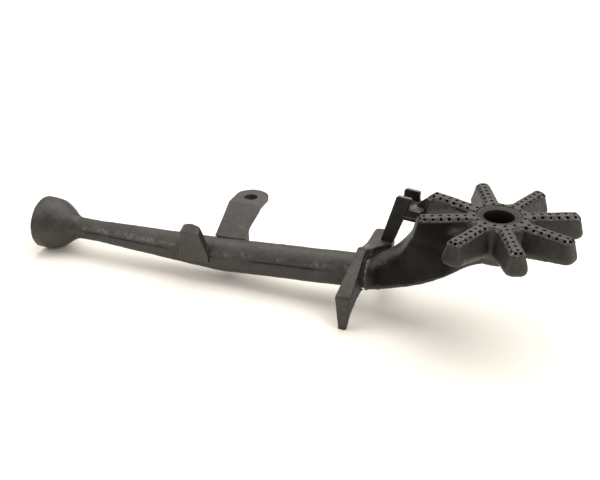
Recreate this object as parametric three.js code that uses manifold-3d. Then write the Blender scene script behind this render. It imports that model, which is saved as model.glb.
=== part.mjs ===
// Star burner with its mixing tube: a drilled eight-arm top on a hollow cast body, a bell-mouthed
// mixing tube slipped into the body's elbow, a leg bracket, a pilot bracket, a bolt-down tab and a lug.
// Millimetres, +Z up. The tube runs along X with its mouth at -X; the camera side of the burner is -Y.
// While it is built, z = 0 is the drilled face of the star and x = y = 0 is the star's axis.
import * as THREE from 'three';
import { mergeVertices } from 'three/addons/utils/BufferGeometryUtils.js';
import Module from 'manifold-3d';

const wasm = await Module();
wasm.setup();

// ---------------------------------------------------------------- driving dimensions

const GAP = 0.3; // clearance between pieces that touch
const OVERCUT = 2; // how far a cutting solid runs past the face that it cuts

const STAR = {
  arms: 8,
  firstArm: THREE.MathUtils.degToRad(22.5),
  reach: 73, // axis to the end of an arm's flat top
  halfWidth: 4, // half the width of an arm's flat top
  chamfer: 3,
  plate: 4, // thickness of the drilled top
  webFillet: 9.5, // radius between two arms at the flat top
  runOut: 0.3, // how far the sides spread between the chamfer and the joint
  wall: 3.2,
};

const PORTS = {
  diameter: 2.2,
  sides: 6,
  perRow: 6,
  pitch: 7.7,
  endMargin: 3, // end of an arm's flat top to the last port of its rows
  ringRadius: 23.8,
  sideOffset: 5.4, // from an arm's middle row to its chamfer row
  endOffset: 2.3, // half the distance between the two ports on an arm's end
};

const TROUGH = {
  hubDepth: 34, // drilled face to the underside beside the hub
  endDepth: 25, // and at the end of an arm
  bulge: 11, // half-width at the shoulder
  flare: 3.4, // how much further an arm reaches at the shoulder than at the joint
  lower: [ // levels from the shoulder down: share of the depth, inset of sides and ends, roundings
    { share: 0.68, inset: 0, back: 0, corner: 5, fillet: 3 },
    { share: 0.9, inset: 1.6, back: 2, corner: 6, fillet: 4 },
    { share: 1, inset: 5, back: 7, corner: 3.4, fillet: 6 },
  ],
};

const BOWL = { depth: 45, radius: 29, neckRadius: 23, neckRise: 8, footRadius: 17, wall: 4 };

const SLEEVE = { bore: 14.3, wall: 2.2, flange: 20.6, dish: 2.1, rim: 0.6, foot: 1.6 };

const TUBE = {
  radius: 18.4,
  wall: 4,
  jointGap: 5.8, // how far beyond the pilot post's foot the tube butts on the elbow
  spigot: 16, // length that slips into the elbow
  bendX: -285, // where the level part ends
  taper: 12, // length over which the cone runs out before the bend
  rise: THREE.MathUtils.degToRad(3.8),
  mouthX: -507,
  mouthRadius: 29.5,
  mouthWall: 3.5,
  bellLength: 49,
  throatRadius: 12.5,
  sides: 24,
};

const REST_Z = -123; // the surface that the mouth and the legs stand on
const BEND_Z = -95.2; // height of the tube's axis at the bend

const BRACKET = {
  topZ: -57.5,
  shelfDepth: 9,
  shelfEnd: 48, // how far the rear shelf reaches from the tube's axis
  shelfWest: -10.4, // edges of the shelf from the pilot post's corner, along the tube
  shelfEast: 6.2,
  shelfNose: [[-14.8, -2], [-6.3, -4], [7.2, 11]], // [from that corner, from the tube's axis]
  shelfCorner: 5,
  shelfMargin: 4, // shelf left in front of the post
  frontRootX: -11.5, // middle of a leg at the tube and at its end, from the post's corner
  frontEndX: -14.5,
  rearRootX: -5.8,
  rearEndX: -3.3,
  legReach: 55,
  shoulderZ: -87, // where the sloping top of the front leg ends
  armpit: [[42, -111], [27, -103.5], [0, -101]], // underside of a leg, [reach, z]
  toe: 4.5, // depth of a toe, front to back
  rootHalf: 4.5, // half the thickness of a leg at the tube
  endHalf: 8.3, // half the thickness of a leg at its outer end
  toeTaper: 0.5, // share of that thickness left at the toe
};

const POST = {
  beside: [-44.6, -9.4], // its near left corner from the end of the arm behind it
  turn: THREE.MathUtils.degToRad(-11.8),
  width: 14.2,
  thickness: 4.5,
  lean: 0.29, // sideways run per millimetre of height
  topZ: -5,
  prongWidth: 17,
  tenonMargin: 3, // at each edge of its tenon
  tenonDepth: 7.5,
};

const CRADLE = {
  slot: 16, // width between the prongs
  prong: 4.5,
  prongStart: 13.9, // left edge of the rear prong's top, along the plate
  prongTaper: 4, // how much narrower its left side is at the base
  floorZ: -17,
  baseZ: -28.5,
  lipHeight: 4,
  lip: 1.5, // how far the lip stands out in front
  lipStart: 5, // and where it starts from the west edge
  west: 19,
  east: 42,
  tenonWidth: 9,
  tenonZ: [-24, -18.5],
  tenonReach: [-3, 14], // inner and outer ends of the peg from the joint line of the arm
};

const TAB = {
  centreX: -278.5,
  width: 37,
  thickness: 3.5, // of the tang and the sloping part
  ear: 5.5, // thickness of the level ear
  kneeY: 8, // where the slope meets the tube
  kneeZ: -77.9,
  bendY: 47,
  earZ: -54,
  earCentreY: 66.3,
  hole: 14.2,
  holeY: 64.6,
  tangZ: -106,
  screwPitch: 20,
  boss: { wall: 3.7, depth: 3.3 }, // round the hole, under the ear
};

const LUG = {
  west: -324,
  east: -304.5,
  footWest: -327.7,
  footEast: -293,
  proud: 0.8, // how far the front face stands out past the tube's side
  depth: 8.7, // front to back
  footZ: -98,
  hipZ: -89,
  faceZ: -65.5, // top of the flat front face
  shoulderZ: -61, // top edge behind the bevel
  crown: 2.8,
  tenon: 4, // radius of the peg through the tube's wall
};

const SCREW_SIDES = 12;
const SCREW = { radius: 2.6, head: 4.6, headHeight: 3 };
const SET_SCREW = { radius: 3, head: 4.2, headHeight: 3.5, inset: 12.5, seat: 1.2 };

// ---------------------------------------------------------------- finishes

const FINISHES = {
  head: { color: 0x383431, roughness: 0.62, metalness: 0.35 },
  casting: { color: 0x33302d, roughness: 0.66, metalness: 0.3 },
  bracket: { color: 0x37332f, roughness: 0.64, metalness: 0.3 },
  plate: { color: 0x4b4540, roughness: 0.6, metalness: 0.35 },
  fastener: { color: 0x2c2a28, roughness: 0.5, metalness: 0.6 },
};

const DOWN = new THREE.Vector3(0, 0, -1);
const assembly = new THREE.Group();

function addPiece(name, geometry, finish, parent = assembly) {
  const mesh = new THREE.Mesh(geometry, new THREE.MeshStandardMaterial(FINISHES[finish]));
  mesh.name = name;
  parent.add(mesh);
  return mesh;
}

// ---------------------------------------------------------------- solids

function solid(geometry) {
  const bare = geometry.clone();
  bare.deleteAttribute('normal');
  bare.deleteAttribute('uv');
  const merged = mergeVertices(bare);
  return new wasm.Manifold(new wasm.Mesh({
    numProp: 3,
    vertProperties: new Float32Array(merged.attributes.position.array),
    triVerts: new Uint32Array(merged.index.array),
  }));
}

function geometryOf(body) {
  const mesh = body.getMesh();
  const geometry = new THREE.BufferGeometry();
  geometry.setAttribute('position', new THREE.BufferAttribute(mesh.vertProperties, 3));
  geometry.setIndex(new THREE.BufferAttribute(mesh.triVerts, 1));
  geometry.computeVertexNormals();
  return geometry;
}

function joined(bodies) {
  return bodies.reduce((total, body) => total.add(body));
}

// Triangles that close one ring of a loft, wound the same way as the ring.
function capFaces(ring, toPlane) {
  const flat = ring.map(toPlane);
  const turn = Math.sign(THREE.ShapeUtils.area(flat));
  return THREE.ShapeUtils.triangulateShape(flat, []).map(([a, b, c]) => {
    const side = THREE.ShapeUtils.area([flat[a], flat[b], flat[c]]);
    return Math.sign(side) === turn ? [a, b, c] : [a, c, b];
  });
}

const PLANES = {
  xy: (p) => new THREE.Vector2(p.x, p.y),
  xz: (p) => new THREE.Vector2(p.x, p.z),
  yz: (p) => new THREE.Vector2(p.y, p.z),
};

// A closed body through rings with equal numbers of points. With no plane, the last ring joins the first.
function loft(rings, toPlane) {
  const count = rings[0].length;
  const spans = toPlane ? rings.length - 1 : rings.length;
  const faces = [];
  for (let r = 0; r < spans; r += 1) {
    const low = r * count;
    const high = ((r + 1) % rings.length) * count;
    for (let i = 0; i < count; i += 1) {
      const next = (i + 1) % count;
      faces.push([low + i, low + next, high + next], [low + i, high + next, high + i]);
    }
  }
  if (toPlane) {
    const last = (rings.length - 1) * count;
    capFaces(rings[0], toPlane).forEach(([a, b, c]) => faces.push([a, c, b]));
    capFaces(rings.at(-1), toPlane).forEach(([a, b, c]) => faces.push([last + a, last + b, last + c]));
  }
  const points = rings.flat();
  const volume = faces.reduce((sum, [a, b, c]) => (
    sum + points[a].dot(new THREE.Vector3().crossVectors(points[b], points[c]))), 0);
  const outward = volume < 0 ? faces.map(([a, b, c]) => [a, c, b]) : faces;
  const geometry = new THREE.BufferGeometry().setFromPoints(points);
  geometry.setIndex(outward.flat());
  geometry.computeVertexNormals();
  return geometry;
}

// A round shape turned about the z axis, from [radius, z] pairs in either order.
function turned(profile, sides = 32) {
  const points = profile.map(([radius, z]) => new THREE.Vector2(radius, z));
  const upward = THREE.ShapeUtils.area(points) > 0 ? points : points.reverse();
  const geometry = new THREE.LatheGeometry(upward, sides);
  geometry.rotateX(Math.PI / 2);
  return geometry;
}

function outline(points) {
  return new THREE.Shape(points.map(([a, b]) => new THREE.Vector2(a, b)));
}

// A pin along +Z from z = 0, turned to point along a direction and moved to a place.
function pin(radius, length, sides, place, direction) {
  const geometry = new THREE.CylinderGeometry(radius, radius, length, sides);
  geometry.rotateX(Math.PI / 2);
  geometry.translate(0, 0, length / 2);
  const turn = new THREE.Quaternion().setFromUnitVectors(new THREE.Vector3(0, 0, 1), direction);
  geometry.applyQuaternion(turn);
  geometry.translate(place.x, place.y, place.z);
  return geometry;
}

// ---------------------------------------------------------------- star outlines

const HALF_PITCH = Math.PI / STAR.arms;
const CRADLE_ARM = 3;
const FILLET_STEPS = 4;
const CORNER_STEPS = 2;

function armAngle(arm) {
  return STAR.firstArm + arm * 2 * HALF_PITCH;
}

function armPoint(arm, along, across, z) {
  const axis = new THREE.Vector3(Math.cos(armAngle(arm)), Math.sin(armAngle(arm)), 0);
  const side = new THREE.Vector3(-axis.y, axis.x, 0);
  return axis.multiplyScalar(along).addScaledVector(side, across).setZ(z);
}

function arc(steps, from, to, place) {
  return Array.from({ length: steps + 1 }, (_, i) => place(from + (to - from) * (i / steps)));
}

// One level of the star, counter-clockwise: both end corners of each arm, then the web after it.
// A level is flat, or rises by endRise from the hub to the ends of the arms.
function starRing({ z, halfWidth, reach, corner, fillet, endRise = 0 }) {
  const ring = [];
  const away = (halfWidth + fillet) / Math.sin(HALF_PITCH);
  const webRadius = away - fillet;
  for (let arm = 0; arm < STAR.arms; arm += 1) {
    const cornerAt = (sign) => (turn) => armPoint(
      arm,
      reach - corner + corner * Math.cos(turn),
      sign * (halfWidth - corner) + corner * Math.sin(turn),
      z,
    );
    ring.push(...arc(CORNER_STEPS, -Math.PI / 2, 0, cornerAt(-1)));
    ring.push(...arc(CORNER_STEPS, 0, Math.PI / 2, cornerAt(1)));
    const bisector = armAngle(arm) + HALF_PITCH;
    const start = armAngle(arm) + 1.5 * Math.PI;
    const end = armAngle(arm) + 2 * HALF_PITCH + Math.PI / 2;
    ring.push(...arc(FILLET_STEPS, start, end, (turn) => new THREE.Vector3(
      away * Math.cos(bisector) + fillet * Math.cos(turn),
      away * Math.sin(bisector) + fillet * Math.sin(turn),
      z,
    )));
  }
  ring.forEach((point) => {
    const share = (Math.hypot(point.x, point.y) - webRadius) / (reach - webRadius);
    point.z += endRise * THREE.MathUtils.clamp(share, 0, 1);
  });
  return ring;
}

const JOINT = {
  z: -STAR.plate,
  halfWidth: STAR.halfWidth + STAR.chamfer + STAR.runOut,
  reach: STAR.reach + STAR.chamfer + STAR.runOut,
  corner: 3.2,
  fillet: STAR.webFillet - STAR.chamfer,
};

// The near left corner of the pilot post, and the tube's joint beyond it.
const POST_CORNER = armPoint(CRADLE_ARM, JOINT.reach + TROUGH.flare, 0, 0)
  .add(new THREE.Vector3(...POST.beside, 0));
const JOINT_X = POST_CORNER.x - TUBE.jointGap;

// Levels of the trough under the top, from the joint down; shrink moves every side inwards.
function troughRings(shrink, topZ) {
  const reach = JOINT.reach + TROUGH.flare;
  const lower = TROUGH.lower.map(({ share, inset, back, corner, fillet }) => ({
    z: -TROUGH.hubDepth * share + shrink,
    endRise: (TROUGH.hubDepth - TROUGH.endDepth) * share,
    halfWidth: TROUGH.bulge - inset,
    reach: reach - back,
    corner,
    fillet,
  }));
  const levels = [{ ...JOINT, z: topZ }, ...lower];
  return levels.map((level) => starRing({
    ...level,
    halfWidth: level.halfWidth - shrink,
    reach: level.reach - shrink,
    corner: Math.max(level.corner - shrink, 0.6),
    fillet: level.fillet + shrink,
  }));
}

// ---------------------------------------------------------------- burner top

function portCutters() {
  const radius = PORTS.diameter / 2;
  const length = STAR.plate * 2;
  const rise = 1.5;
  const cutters = [];
  const drill = (place, direction) => {
    const start = place.clone().addScaledVector(direction, -rise);
    cutters.push(solid(pin(radius, length, PORTS.sides, start, direction)));
  };
  const slope = PORTS.sideOffset - STAR.halfWidth; // depth of a chamfer port's mouth
  for (let arm = 0; arm < STAR.arms; arm += 1) {
    const inwards = (across) => armPoint(arm, 0, -Math.sign(across), -1).normalize();
    for (let i = 0; i < PORTS.perRow; i += 1) {
      const along = STAR.reach - PORTS.endMargin - i * PORTS.pitch;
      drill(armPoint(arm, along, 0, 0), DOWN);
      [-PORTS.sideOffset, PORTS.sideOffset].forEach((across) => {
        drill(armPoint(arm, along, across, -slope), inwards(across));
      });
    }
    const backwards = armPoint(arm, -1, 0, -1).normalize();
    [-PORTS.endOffset, PORTS.endOffset].forEach((across) => {
      drill(armPoint(arm, STAR.reach + slope, across, -slope), backwards);
    });
    [0, HALF_PITCH].forEach((turn) => {
      const angle = armAngle(arm) + turn;
      const place = new THREE.Vector3(Math.cos(angle), Math.sin(angle), 0).multiplyScalar(PORTS.ringRadius);
      drill(place, DOWN);
    });
  }
  return joined(cutters);
}

function burnerTop() {
  const face = {
    z: 0,
    halfWidth: STAR.halfWidth,
    reach: STAR.reach,
    corner: 1.2,
    fillet: STAR.webFillet,
  };
  const edge = {
    z: -STAR.chamfer,
    halfWidth: STAR.halfWidth + STAR.chamfer,
    reach: STAR.reach + STAR.chamfer,
    corner: 3,
    fillet: JOINT.fillet,
  };
  const plate = solid(loft([face, edge, { ...JOINT, z: JOINT.z + GAP }].map(starRing), PLANES.xy));
  return geometryOf(plate.subtract(portCutters()).subtract(sleeveCutter()));
}

// ---------------------------------------------------------------- centre sleeve

// The outside of the sleeve from its rim down to its rolled foot, as [radius, z] pairs.
function sleeveOutside(clearance) {
  const outer = SLEEVE.bore + SLEEVE.wall + clearance;
  return [
    [SLEEVE.flange + clearance, -GAP - SLEEVE.rim],
    [outer, -SLEEVE.dish - SLEEVE.wall],
    [outer, -BOWL.depth + SLEEVE.foot],
    [outer + SLEEVE.foot, -BOWL.depth],
  ];
}

function sleeveCutter() {
  const outside = sleeveOutside(GAP);
  const topZ = OVERCUT;
  const footZ = -BOWL.depth - OVERCUT;
  const [rim, foot] = [outside[0][0], outside.at(-1)[0]];
  return solid(turned([[0, topZ], [rim, topZ], ...outside, [foot, footZ], [0, footZ]]));
}

function centreSleeve() {
  const { bore, flange, dish, foot } = SLEEVE;
  const inside = [[bore + foot, -BOWL.depth], [bore, -BOWL.depth + foot], [bore, -dish]];
  const rim = [flange, -GAP];
  return turned([rim, ...sleeveOutside(0), ...inside, rim]);
}

// ---------------------------------------------------------------- mixing tube

function axisZ(x) {
  const mouthAxis = REST_Z + TUBE.mouthRadius;
  if (x < TUBE.bendX) {
    const share = (x - TUBE.mouthX) / (TUBE.bendX - TUBE.mouthX);
    return THREE.MathUtils.lerp(mouthAxis, BEND_Z, share);
  }
  return BEND_Z + (x - TUBE.bendX) * Math.tan(TUBE.rise);
}

function tubeRing(x, radius) {
  return arc(TUBE.sides - 1, 0, 2 * Math.PI * (1 - 1 / TUBE.sides), (turn) => new THREE.Vector3(
    x,
    radius * Math.cos(turn),
    axisZ(x) + radius * Math.sin(turn),
  ));
}

// Outside of the tube from its mouth to the joint as [x, radius] pairs: bell, neck, cone, pipe.
function tubeOutside() {
  const neckX = TUBE.mouthX + TUBE.bellLength;
  const belly = [0, 0.2, 0.4, 0.6, 0.8, 1].map((share) => {
    const fall = 0.5 - 0.5 * Math.cos(Math.PI * share ** 1.45);
    return [
      THREE.MathUtils.lerp(TUBE.mouthX + 6, neckX, share),
      THREE.MathUtils.lerp(TUBE.mouthRadius, TUBE.throatRadius, fall),
    ];
  });
  return [
    [TUBE.mouthX, TUBE.mouthRadius - 1],
    [TUBE.mouthX + 1.5, TUBE.mouthRadius],
    ...belly,
    [neckX + 25, TUBE.throatRadius + 0.2],
    [TUBE.bendX - TUBE.taper, TUBE.radius - 0.4],
    [TUBE.bendX, TUBE.radius],
    [JOINT_X, TUBE.radius],
  ];
}

function mixingTube() {
  const outside = tubeOutside();
  const bore = outside.slice(1, -1).map(([x, radius]) => {
    const nearMouth = x < TUBE.mouthX + TUBE.bellLength;
    return [x, radius - (nearMouth ? TUBE.mouthWall : TUBE.wall)];
  });
  const boreRadius = TUBE.radius - TUBE.wall;
  const spigotRadius = boreRadius + TUBE.wall / 2 - GAP;
  const endX = JOINT_X + TUBE.spigot;
  const profile = [
    ...outside,
    [JOINT_X, spigotRadius],
    [endX, spigotRadius],
    [endX, boreRadius],
    ...bore.reverse(),
    [TUBE.mouthX, TUBE.mouthRadius - TUBE.mouthWall + 0.6],
  ];
  const wall = solid(loft(profile.map(([x, radius]) => tubeRing(x, radius))));
  const cutters = [...TAB_SCREWS.map((x) => tabScrewCutter(x)), lugTenon(GAP)];
  return cutters.reduce((rest, cutter) => rest.subtract(cutter), wall);
}

// The tube's solid outside, grown by the clearance, for cutting what seats on it.
function tubeCutter(clearance) {
  const profile = [...tubeOutside().slice(0, -1), [JOINT_X + OVERCUT, TUBE.radius]];
  return solid(loft(profile.map(([x, radius]) => tubeRing(x, radius + clearance)), PLANES.yz));
}

// ---------------------------------------------------------------- burner body

// Stations of the elbow: its roof and floor in the plane y = 0, its half-width and its squareness.
// A place along X is its share of the way out from the star's axis to the tube's joint.
const ELBOW = [
  { roof: [1, null], floor: [1, null], half: TUBE.radius, square: 2 },
  { roof: [0.903, -61.5], floor: [0.879, -99.5], half: TUBE.radius + 0.4, square: 2 },
  { roof: [0.823, -56], floor: [0.758, -94], half: TUBE.radius + 2.1, square: 2.1 },
  { roof: [0.75, -49], floor: [0.637, -87], half: 24.5, square: 2.4 },
  { roof: [0.694, -41.5], floor: [0.516, -77.5], half: 30, square: 3 },
  { roof: [0.653, -33], floor: [0.395, -66.5], half: 35, square: 3.6 },
  { roof: [0.597, -24], floor: [0.274, -56], half: 36, square: 3.8 },
  { roof: [0.403, -16], floor: [0.145, -47], half: 31, square: 3.4 },
];
const ELBOW_SIDES = 20;

function elbowRing(station, shrink) {
  const [roofX, floorX] = [station.roof[0], station.floor[0]].map((share) => share * (JOINT_X + GAP));
  const roof = new THREE.Vector3(roofX, 0, station.roof[1] ?? axisZ(roofX) + TUBE.radius);
  const floor = new THREE.Vector3(floorX, 0, station.floor[1] ?? axisZ(floorX) - TUBE.radius);
  const centre = roof.clone().add(floor).multiplyScalar(0.5);
  const up = roof.clone().sub(centre);
  const height = up.length() - shrink;
  const half = station.half - shrink;
  up.normalize();
  const power = 2 / station.square;
  const bend = (value) => Math.sign(value) * Math.abs(value) ** power;
  return arc(ELBOW_SIDES - 1, 0, 2 * Math.PI * (1 - 1 / ELBOW_SIDES), (turn) => (
    centre.clone()
      .addScaledVector(new THREE.Vector3(0, 1, 0), half * bend(Math.cos(turn)))
      .addScaledVector(up, height * bend(Math.sin(turn)))
  ));
}

function elbow(shrink) {
  return solid(loft(ELBOW.map((station) => elbowRing(station, shrink)), PLANES.yz));
}

function bowl(shrink) {
  const radius = BOWL.radius - shrink;
  const floorZ = -BOWL.depth + shrink;
  const foot = BOWL.footRadius - shrink;
  const sideZ = -TROUGH.hubDepth * TROUGH.lower[0].share;
  const topZ = JOINT.z - (shrink > 0 ? -OVERCUT : 3);
  return solid(turned([
    [0, topZ], [BOWL.neckRadius - shrink, topZ], [radius, sideZ + BOWL.neckRise],
    ...arc(5, 0, Math.PI / 2, (turn) => [
      foot + (radius - foot) * Math.cos(turn),
      sideZ + (sideZ - floorZ) * -Math.sin(turn),
    ]),
    [0, floorZ],
  ], 40));
}

function burnerBody() {
  const outside = joined([solid(loft(troughRings(0, JOINT.z), PLANES.xy)), bowl(0), elbow(0)]);
  const inside = joined([
    solid(loft(troughRings(STAR.wall, JOINT.z + OVERCUT), PLANES.xy)),
    bowl(BOWL.wall),
    elbow(TUBE.wall),
  ]);
  const boreRadius = TUBE.radius - TUBE.wall;
  const socket = solid(loft([
    tubeRing(JOINT_X - OVERCUT, boreRadius + TUBE.wall / 2),
    tubeRing(JOINT_X + TUBE.spigot + GAP, boreRadius + TUBE.wall / 2),
  ], PLANES.yz));
  return [inside, socket, sleeveCutter(), setScrewCutter(), cradleTenon(GAP)]
    .reduce((rest, cutter) => rest.subtract(cutter), outside);
}

// ---------------------------------------------------------------- leg bracket

// Half the thickness of a leg, and its middle in x, at a distance from the tube and a height.
function legFaces(reach, z) {
  const out = reach / BRACKET.legReach;
  const drop = THREE.MathUtils.clamp((BRACKET.shoulderZ - z) / (BRACKET.shoulderZ - REST_Z), 0, 1);
  const half = THREE.MathUtils.lerp(BRACKET.rootHalf, BRACKET.endHalf, Math.max(out, 0));
  return { half: half * THREE.MathUtils.lerp(1, BRACKET.toeTaper, drop), out };
}

function leg(profile, rootX, endX, side) {
  const face = (sign) => profile.map(([reach, z]) => {
    const { half, out } = legFaces(reach, z);
    return new THREE.Vector3(THREE.MathUtils.lerp(rootX, endX, out) + sign * half, side * reach, z);
  });
  return solid(loft([face(-1), face(1)], PLANES.yz));
}

// The shelf that carries the pilot post, in plan.
function shelfPlan() {
  const { shelfNose, shelfEnd, shelfCorner, shelfMargin } = BRACKET;
  const west = POST_CORNER.x + BRACKET.shelfWest;
  const east = POST_CORNER.x + BRACKET.shelfEast;
  const postEnd = POST_CORNER.x + POST.width;
  const shelf = new THREE.Shape();
  shelf.moveTo(POST_CORNER.x + shelfNose[0][0], shelfNose[0][1]);
  shelfNose.slice(1).forEach(([x, y]) => shelf.lineTo(POST_CORNER.x + x, y));
  shelf.lineTo(postEnd, POST_CORNER.y - shelfMargin);
  shelf.lineTo(postEnd, POST_CORNER.y + POST.thickness + shelfMargin / 2);
  shelf.lineTo(east, shelfEnd);
  shelf.lineTo(west + shelfCorner, shelfEnd);
  shelf.absarc(west + shelfCorner, shelfEnd - shelfCorner, shelfCorner, Math.PI / 2, Math.PI, false);
  shelf.lineTo(west, POST_CORNER.y / 2);
  return shelf;
}

function legBracket() {
  const { topZ, shelfDepth, shelfEnd, legReach, shoulderZ, toe, armpit } = BRACKET;
  const foot = [[legReach - 0.5, REST_Z], [legReach - toe, REST_Z], ...armpit];
  const front = [
    [0, topZ - 1], [3, topZ], [legReach - 2, shoulderZ + 1], [legReach, shoulderZ - 2], ...foot,
  ];
  const rear = [
    [0, topZ - 1], [shelfEnd - 3, topZ - 1], [shelfEnd, topZ - shelfDepth + 2.5],
    [legReach, shoulderZ], ...foot,
  ];
  const options = { depth: shelfDepth, bevelEnabled: false, curveSegments: 4 };
  const shelf = new THREE.ExtrudeGeometry(shelfPlan(), options);
  shelf.translate(0, 0, topZ - shelfDepth);
  const along = (offset) => POST_CORNER.x + offset;
  const whole = joined([
    solid(shelf),
    leg(front, along(BRACKET.frontRootX), along(BRACKET.frontEndX), -1),
    leg(rear, along(BRACKET.rearRootX), along(BRACKET.rearEndX), 1),
  ]);
  return whole.subtract(tubeCutter(GAP)).subtract(elbow(-GAP)).subtract(solid(postTenon(GAP)));
}

// ---------------------------------------------------------------- pilot bracket

// A flat plate in the bracket's own frame: outline along the plate and up, then its two depths.
function pilotPlate(points, [near, far]) {
  const geometry = new THREE.ExtrudeGeometry(outline(points), { depth: far - near, bevelEnabled: false });
  geometry.translate(0, 0, -far);
  geometry.rotateX(Math.PI / 2);
  geometry.rotateZ(POST.turn);
  geometry.translate(POST_CORNER.x, POST_CORNER.y, 0);
  return geometry;
}

function postTenon(clearance) {
  const left = POST.tenonMargin - clearance;
  const right = POST.width - POST.tenonMargin + clearance;
  const base = BRACKET.topZ - POST.tenonDepth - clearance;
  const top = BRACKET.topZ + 2;
  const depths = [1 - clearance, POST.thickness - 1 + clearance];
  return pilotPlate([[left, base], [right, base], [right, top], [left, top]], depths);
}

// The top corners of a prong whose left edge is at some place along the plate.
function prongTop(left, clearance = 0) {
  const right = left + POST.prongWidth;
  return [
    [right + clearance, POST.topZ - 1.5], [right - 1.5, POST.topZ],
    [left + 2, POST.topZ], [left - clearance, POST.topZ - 2],
  ];
}

function postOutline(clearance) {
  const base = BRACKET.topZ + GAP - (clearance > 0 ? OVERCUT : 0);
  const left = POST.lean * (POST.topZ - BRACKET.topZ);
  return [[-clearance, base], [POST.width + clearance, base], ...prongTop(left, clearance)];
}

function pilotPost() {
  const plate = solid(pilotPlate(postOutline(0), [0, POST.thickness]));
  return plate.add(solid(postTenon(0)));
}

// The peg that seats the cradle in the end wall of the arm behind it.
function cradleTenon(clearance) {
  const half = CRADLE.tenonWidth / 2 + clearance;
  const [low, high] = [CRADLE.tenonZ[0] - clearance, CRADLE.tenonZ[1] + clearance];
  const [inner, outer] = CRADLE.tenonReach;
  const [near, far] = [JOINT.reach + inner - clearance, JOINT.reach + outer];
  const ring = (z) => [[near, -half], [far, -half], [far, half], [near, half]]
    .map(([along, across]) => armPoint(CRADLE_ARM, along, across, z));
  return solid(loft([ring(low), ring(high)], PLANES.xy));
}

function block(west, east, low, high, depths) {
  return solid(pilotPlate([[west, low], [east, low], [east, high], [west, high]], depths));
}

function pilotCradle() {
  const { west, east, baseZ, floorZ, lip, lipStart, lipHeight } = CRADLE;
  const rear = POST.thickness + CRADLE.slot + CRADLE.prong;
  const low = CRADLE.prongStart - POST.lean * (POST.topZ - baseZ);
  const prong = pilotPlate([
    [low + CRADLE.prongTaper, baseZ],
    [low + POST.prongWidth, baseZ],
    ...prongTop(CRADLE.prongStart),
  ], [rear - CRADLE.prong, rear]);
  const whole = joined([
    block(west, east, baseZ, floorZ, [0, rear]),
    block(west + lipStart, east, baseZ, baseZ + lipHeight, [-lip, 1]),
    solid(prong),
  ]);
  const post = solid(pilotPlate(postOutline(GAP), [-lip - 1, POST.thickness + GAP]));
  const star = solid(loft(troughRings(-GAP, JOINT.z), PLANES.xy));
  return whole.subtract(post).subtract(star).subtract(elbow(-GAP)).add(cradleTenon(0));
}

// ---------------------------------------------------------------- mounting tab and lug

const TAB_SCREWS = [-1, 1].map((side) => TAB.centreX + side * TAB.screwPitch / 2);
const TAB_BACK = TUBE.radius + TAB.thickness + 1;

// A round-headed screw with its head above a place and its shank running along a direction.
function screwShape({ radius, head, headHeight }, length, place, direction) {
  const profile = [
    [0, -length], [radius, -length], [radius, GAP], [head, GAP],
    [head, headHeight * 0.5], [head * 0.7, headHeight], [0, headHeight],
  ];
  const geometry = turned(profile, SCREW_SIDES);
  geometry.applyQuaternion(new THREE.Quaternion().setFromUnitVectors(
    new THREE.Vector3(0, 0, -1),
    direction,
  ));
  geometry.translate(place.x, place.y, place.z);
  return geometry;
}

const TOWARDS_FRONT = new THREE.Vector3(0, -1, 0);

function tabScrewPlace(x) {
  return new THREE.Vector3(x, TAB_BACK, axisZ(x));
}

function tabScrewCutter(x) {
  const start = tabScrewPlace(x).setY(TAB_BACK + OVERCUT);
  const length = TAB_BACK - TUBE.radius + TUBE.wall + 2 * OVERCUT;
  return solid(pin(SCREW.radius + GAP, length, SCREW_SIDES, start, TOWARDS_FRONT));
}

function tabScrew(x) {
  const length = TAB.thickness + TUBE.wall;
  return screwShape(SCREW, length, tabScrewPlace(x), TOWARDS_FRONT);
}

function mountingTab() {
  const { width, thickness, ear, kneeY, kneeZ, bendY, earZ, earCentreY, tangZ } = TAB;
  const end = earCentreY + width / 2;
  const climb = (earZ - kneeZ) / (bendY - kneeY);
  const neckZ = kneeZ + climb * (TAB_BACK - kneeY) - thickness;
  const profile = [
    [kneeY, tangZ], [TAB_BACK, tangZ], [TAB_BACK, neckZ], [bendY + ear / 2, earZ - ear],
    [end, earZ - ear], [end, earZ], [bendY, earZ], [kneeY, kneeZ],
  ];
  const strip = new THREE.ExtrudeGeometry(outline(profile), { depth: width, bevelEnabled: false });
  strip.rotateX(Math.PI / 2);
  strip.rotateZ(Math.PI / 2);
  strip.translate(TAB.centreX - width / 2, 0, 0);
  const plan = new THREE.Shape();
  plan.moveTo(-width / 2, 0);
  plan.lineTo(width / 2, 0);
  plan.absarc(0, earCentreY, width / 2, 0, Math.PI, false);
  const options = { depth: -tangZ, bevelEnabled: false, curveSegments: 16 };
  const window = new THREE.ExtrudeGeometry(plan, options);
  window.translate(TAB.centreX, 0, tangZ - 1);
  const underEar = new THREE.Vector3(TAB.centreX, TAB.holeY, earZ - ear - TAB.boss.depth);
  const up = new THREE.Vector3(0, 0, 1);
  const boss = pin(TAB.hole / 2 + TAB.boss.wall, ear + TAB.boss.depth - 1, 24, underEar, up);
  const hole = pin(TAB.hole / 2, 4 * ear, 24, underEar.clone().setZ(earZ + ear), DOWN);
  const blank = solid(strip).intersect(solid(window)).add(solid(boss));
  return [solid(hole), tubeCutter(GAP), ...TAB_SCREWS.map((x) => tabScrewCutter(x))]
    .reduce((rest, cutter) => rest.subtract(cutter), blank);
}

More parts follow.
